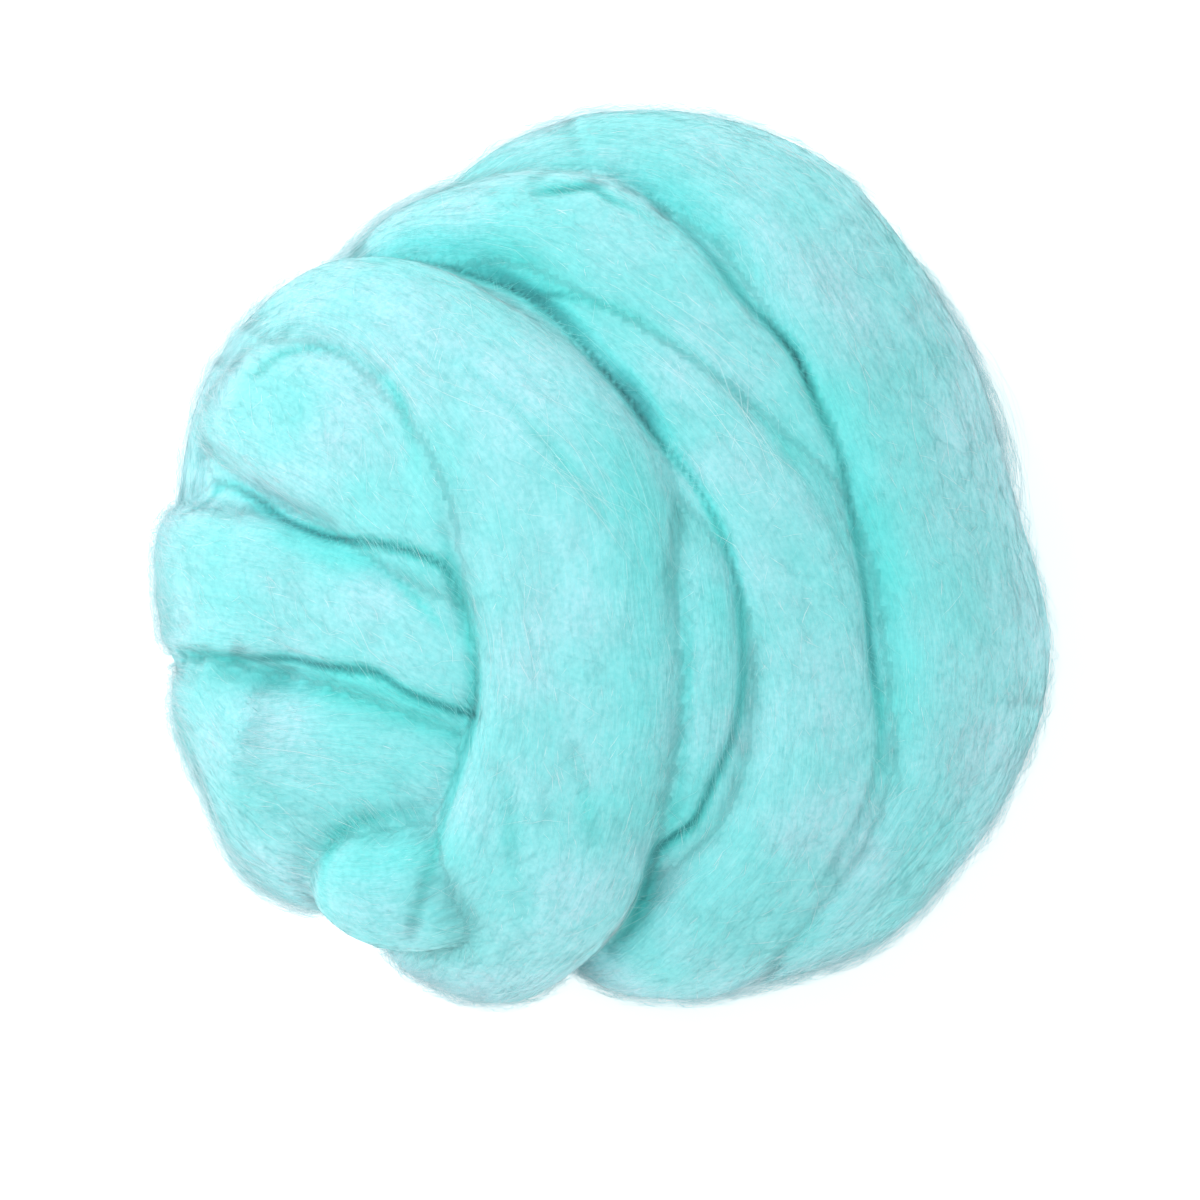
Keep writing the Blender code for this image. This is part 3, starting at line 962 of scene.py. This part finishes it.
def made_wisps(rng, skin):
    """Loose pale fibres (partly painted light), on the skin or bridging the outline, as one piece."""
    fibres, thick = [], []
    share = np.linspace(0, 1, WISP_STATIONS)[:, None]
    for wisp in WISPS:
        way = smooth_rows(np.array(wisp.places, float), WISP_STEPS, False)
        for _ in range(wisp.count):
            start = rng.uniform(0, LATEST_START)
            end = rng.uniform(start + LEAST_LENGTH, 1)
            steps = np.linspace(start * (WISP_STEPS - 1), end * (WISP_STEPS - 1), WISP_STATIONS)
            picked = way[steps.astype(int)]
            drift = rng.normal(0, wisp.spread, (2, 3))
            fibre = picked + drift[0] * (1 - share) + drift[1] * share
            if wisp.lies:
                lift = rng.uniform(*WISP_LIFT) * np.sin(math.pi * share[:, 0])
                fibres.append(settle(fibre[None], lift[None], skin, WISP_FALL))
            else:
                fibre -= off_ball(picked) * WISP_TUCK * (2 * share - 1) ** 2
                upward = np.tile(STRAIGHT_UP, (1, WISP_STATIONS, 1))
                fibres.append(Laid(fibre[None], upward, np.zeros((1, WISP_STATIONS)), None))
            thick.append(wisp.thick * rng.uniform(*WISP_THICKNESSES))
    laid = Laid(*(np.concatenate([fibre[part] for fibre in fibres]) for part in range(3)), None)
    tone = rng.normal(WISP_TONE, WISP_TONE_SPREAD, len(fibres))
    return fibre_piece("loose_wisps", laid, np.array(thick), tone, LOOSE_SKIN_SHARE)


# ---------------- the wool's material

TEAL_WOOL = (0.265, 0.740, 0.745)
PALE_WOOL = (0.450, 0.765, 0.820)
DEEP_WOOL = (0.150, 0.580, 0.600)
# Loose fibres: thin wool's own paler colour, with painted light that shines through them added on.
LOOSE_AND_BACKLIT_WOOL = (0.740, 0.880, 0.915)

SPECULAR = 0.25
SHEEN_WEIGHT = 0.25
SHEEN_ROUGHNESS = 0.45
SHEEN_TINT = (0.86, 0.88, 1.0, 1.0)

# How much light goes into the dense wool, how far in metres, and each colour's share of that.
SUBSURFACE = 0.7
SUBSURFACE_SCALE = 0.004
SUBSURFACE_REACH = (0.4, 1.0, 1.0)

# A noise pattern: its scale and detail, the range of its values that counts, and how strongly it colours
# the wool.
Pattern = namedtuple("Pattern", "scale detail seen depth")
PATCHES = Pattern(55.0, 2.0, (0.35, 0.65), 1.0)
GRAIN = Pattern(1100.0, 3.0, (0.4, 0.65), 0.35)
BROAD_STREAKS = Pattern(0.4, 1.0, (0.3, 0.7), 0.3)
FINE_STREAKS = Pattern(2.6, 2.0, (0.3, 0.7), 0.35)
BUMP_STRENGTH = 0.6
BUMP_HEIGHT = 0.0004

# A fibre's tone: what is deeper than the wool, what is paler (thin wool's own paler look and painted light
# shining through it), and how deep the deepest is.
DEEP_TONES = (-2.0, 0.5)
PALE_TONES = (0.8, 2.0)
DEEPEST = 0.45
SKIN_ROUGHNESS = (0.78, 0.95)
FIBRE_ROUGHNESS = (0.65, 0.85)

# What the shade of a crease leaves of the wool's colour. Red goes first, because the wool soaks it up.
SHADES = [
    (0.0, (1.0, 1.0, 1.0)),
    (0.35, (0.52, 0.98, 0.94)),
    (0.7, (0.25, 0.66, 0.64)),
    (1.0, (0.10, 0.31, 0.32)),
]


def mixed(tree, factor, first, second):
    """A mix of two colours, each a colour or the output of a node."""
    mix = tree.nodes.new("ShaderNodeMix")
    mix.data_type = "RGBA"
    tree.links.new(factor, mix.inputs[0])
    for socket, colour in ((mix.inputs[6], first), (mix.inputs[7], second)):
        if isinstance(colour, tuple):
            socket.default_value = (*colour, 1.0)
        else:
            tree.links.new(colour, socket)
    return mix.outputs[2]


def ranged(tree, value, seen, given=(0.0, 1.0)):
    """A node's output in the range seen, as a number in the range given."""
    ramp = tree.nodes.new("ShaderNodeMapRange")
    for name, number in zip(("From Min", "From Max", "To Min", "To Max"), (*seen, *given)):
        ramp.inputs[name].default_value = number
    tree.links.new(value, ramp.inputs["Value"])
    return ramp.outputs["Result"]


def attribute(tree, name):
    """A node that reads this attribute of the mesh."""
    reader = tree.nodes.new("ShaderNodeAttribute")
    reader.attribute_name = name
    return reader


def shaded(tree, colour):
    """The colour as it looks in the shade of the creases."""
    ramp = tree.nodes.new("ShaderNodeValToRGB")
    stops = ramp.color_ramp.elements
    stops.remove(stops[1])
    for place, left in SHADES:
        stop = stops.new(place) if place > 0 else stops[0]
        stop.color = (*left, 1.0)
    tree.links.new(attribute(tree, "shade").outputs["Fac"], ramp.inputs["Fac"])
    times = tree.nodes.new("ShaderNodeMix")
    times.data_type = "RGBA"
    times.blend_type = "MULTIPLY"
    times.inputs[0].default_value = 1.0
    tree.links.new(colour, times.inputs[6])
    tree.links.new(ramp.outputs["Color"], times.inputs[7])
    return times.outputs[2]


def wool_base(name):
    """A new wool material, with the sheen that all the wool has."""
    material = bpy.data.materials.new(name)
    material.use_nodes = True
    tree = material.node_tree
    finish = tree.nodes["Principled BSDF"]
    finish.inputs["Specular IOR Level"].default_value = SPECULAR
    finish.inputs["Sheen Weight"].default_value = SHEEN_WEIGHT
    finish.inputs["Sheen Roughness"].default_value = SHEEN_ROUGHNESS
    finish.inputs["Sheen Tint"].default_value = SHEEN_TINT
    return material, tree, finish


def cloudy(tree, pattern):
    """A noise pattern in the object's own space."""
    where = tree.nodes.new("ShaderNodeTexCoord")
    clouds = tree.nodes.new("ShaderNodeTexNoise")
    clouds.inputs["Scale"].default_value = pattern.scale
    clouds.inputs["Detail"].default_value = pattern.detail
    tree.links.new(where.outputs["Object"], clouds.inputs["Vector"])
    return ranged(tree, clouds.outputs["Fac"], pattern.seen, (0.0, pattern.depth))


def patches(tree):
    """The wool's colour as it varies from place to place, from teal to pale."""
    return mixed(tree, cloudy(tree, PATCHES), TEAL_WOOL, PALE_WOOL)


def grain(tree, colour):
    """The colour with the fine grain of matted fibres, deeper from speck to speck."""
    return mixed(tree, cloudy(tree, GRAIN), colour, DEEP_WOOL)


def streaks(tree, pattern):
    """A noise pattern of streaks along the turns, 1 / scale mm wide."""
    combed = tree.nodes.new("ShaderNodeTexNoise")
    combed.noise_dimensions = "4D"
    combed.inputs["Scale"].default_value = pattern.scale
    combed.inputs["Detail"].default_value = pattern.detail
    tree.links.new(attribute(tree, "lay").outputs["Vector"], combed.inputs["Vector"])
    tree.links.new(attribute(tree, "lay_w").outputs["Fac"], combed.inputs["W"])
    return combed.outputs["Fac"]


def streaked(tree, streak, pattern, colour, deeper):
    """The colour with a deeper one where the streaks are low."""
    factor = ranged(tree, streak, pattern.seen, (pattern.depth, 0.0))
    return mixed(tree, factor, colour, deeper)


def skin_wool():
    """Wool for the skin: streaks of deeper and paler fibres, and a fine combed bump."""
    material, tree, finish = wool_base("wool_skin")
    finish.inputs["Subsurface Weight"].default_value = SUBSURFACE
    finish.inputs["Subsurface Radius"].default_value = SUBSURFACE_REACH
    finish.inputs["Subsurface Scale"].default_value = SUBSURFACE_SCALE
    broad = streaks(tree, BROAD_STREAKS)
    fine = streaks(tree, FINE_STREAKS)
    colour = streaked(tree, broad, BROAD_STREAKS, patches(tree), TEAL_WOOL)
    colour = streaked(tree, fine, FINE_STREAKS, colour, DEEP_WOOL)
    colour = grain(tree, colour)
    tree.links.new(shaded(tree, colour), finish.inputs["Base Color"])
    tree.links.new(ranged(tree, fine, FINE_STREAKS.seen, SKIN_ROUGHNESS), finish.inputs["Roughness"])
    bump = tree.nodes.new("ShaderNodeBump")
    bump.inputs["Strength"].default_value = BUMP_STRENGTH
    bump.inputs["Distance"].default_value = BUMP_HEIGHT
    tree.links.new(fine, bump.inputs["Height"])
    tree.links.new(bump.outputs["Normal"], finish.inputs["Normal"])
    return material


def fibre_wool():
    """Wool for single fibres, each in its own tone; the palest also carry painted light through loose wool.
    """
    material, tree, finish = wool_base("wool_fibre")
    tone = attribute(tree, "tone").outputs["Fac"]
    own = ranged(tree, tone, DEEP_TONES, (DEEPEST, 0.0))
    colour = mixed(tree, own, patches(tree), DEEP_WOOL)
    colour = grain(tree, colour)
    colour = mixed(tree, ranged(tree, tone, PALE_TONES), colour, LOOSE_AND_BACKLIT_WOOL)
    tree.links.new(shaded(tree, colour), finish.inputs["Base Color"])
    roughness = ranged(tree, tone, (-MOST_TONE, MOST_TONE), FIBRE_ROUGHNESS)
    tree.links.new(roughness, finish.inputs["Roughness"])
    return material


# ---------------- floor, light and camera

FLOOR_HALF = 2.0
FLOOR_LEVEL = -0.0003
FLOOR_COLOUR = (0.90, 0.90, 0.90, 1.0)
FLOOR_ROUGHNESS = 0.9
FLOOR_GLOW = 0.35

WHITE = (1.0, 1.0, 1.0, 1.0)
WORLD_STRENGTH = 0.85
KEY_PLACE = (-0.75, 0.45, 1.2)
LAMP_SIZE = 0.9
KEY_WATTS = 11.8
FILL_PLACE = (0.6, -0.9, 0.7)
FILL_WATTS = 1.3

# The picture's frame is 200 mm wide at the level of the ball's middle, and 7.5 mm nearer than that middle.
CAMERA_REACH = 1.5
FRAME_WIDE = 0.2
FRAME_OFFSET = (-0.00017, -0.0075)
SENSOR = 36.0
CLIP_START = 0.05


def made_floor():
    half = FLOOR_HALF
    mesh = bpy.data.meshes.new("floor")
    plan = [(-half, -half), (half, -half), (half, half), (-half, half)]
    mesh.from_pydata([(x, y, FLOOR_LEVEL) for x, y in plan], [], [(0, 1, 2, 3)])
    paper = bpy.data.materials.new("paper")
    paper.use_nodes = True
    finish = paper.node_tree.nodes["Principled BSDF"]
    finish.inputs["Base Color"].default_value = FLOOR_COLOUR
    finish.inputs["Roughness"].default_value = FLOOR_ROUGHNESS
    finish.inputs["Emission Color"].default_value = WHITE
    finish.inputs["Emission Strength"].default_value = FLOOR_GLOW
    mesh.materials.append(paper)
    new_object("floor", mesh)


def made_lamp(name, place, watts):
    """A large square lamp that faces the ball."""
    lamp = bpy.data.lights.new(name, "AREA")
    lamp.shape = "SQUARE"
    lamp.size = LAMP_SIZE
    lamp.energy = watts
    made = new_object(name, lamp)
    made.location = place
    aim = Vector((0, 0, MIDDLE * MM)) - made.location
    made.rotation_euler = aim.to_track_quat("-Z", "Y").to_euler()


def light_scene():
    """Soft white light from all round, a large lamp at the far left and a weak one at the near right."""
    world = bpy.data.worlds.new("studio")
    world.use_nodes = True
    background = world.node_tree.nodes["Background"]
    background.inputs["Color"].default_value = WHITE
    background.inputs["Strength"].default_value = WORLD_STRENGTH
    bpy.context.scene.world = world
    made_lamp("key", KEY_PLACE, KEY_WATTS)
    made_lamp("fill", FILL_PLACE, FILL_WATTS)


def place_camera():
    """A camera that looks straight down."""
    lens = bpy.data.cameras.new("camera")
    lens.sensor_width = SENSOR
    lens.lens = SENSOR * CAMERA_REACH / FRAME_WIDE
    lens.clip_start = CLIP_START
    camera = new_object("camera", lens)
    camera.location = (*FRAME_OFFSET, MIDDLE * MM + CAMERA_REACH)
    bpy.context.scene.camera = camera
    bpy.context.scene.view_settings.view_transform = "Standard"


# ---------------- the whole


def dress():
    """Make every piece of the ball and put it in the frame."""
    rng = np.random.default_rng(RANDOM_SEED)
    ropes = [rope_of(turn) for turn in TURNS]
    skin = made_skin(rng, ropes)
    fibres = [piece for kind in KINDS for piece in made_fibres(rng, kind, ropes, skin)]
    fibres.append(made_wisps(rng, skin))
    skin.object.data.materials.append(skin_wool())
    fibre_material = fibre_wool()
    for piece in fibres:
        piece.data.materials.append(fibre_material)
    for piece in [skin.object] + fibres:
        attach(piece, BODY)
        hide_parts(NODE)


dress()
made_floor()
light_scene()
place_camera()
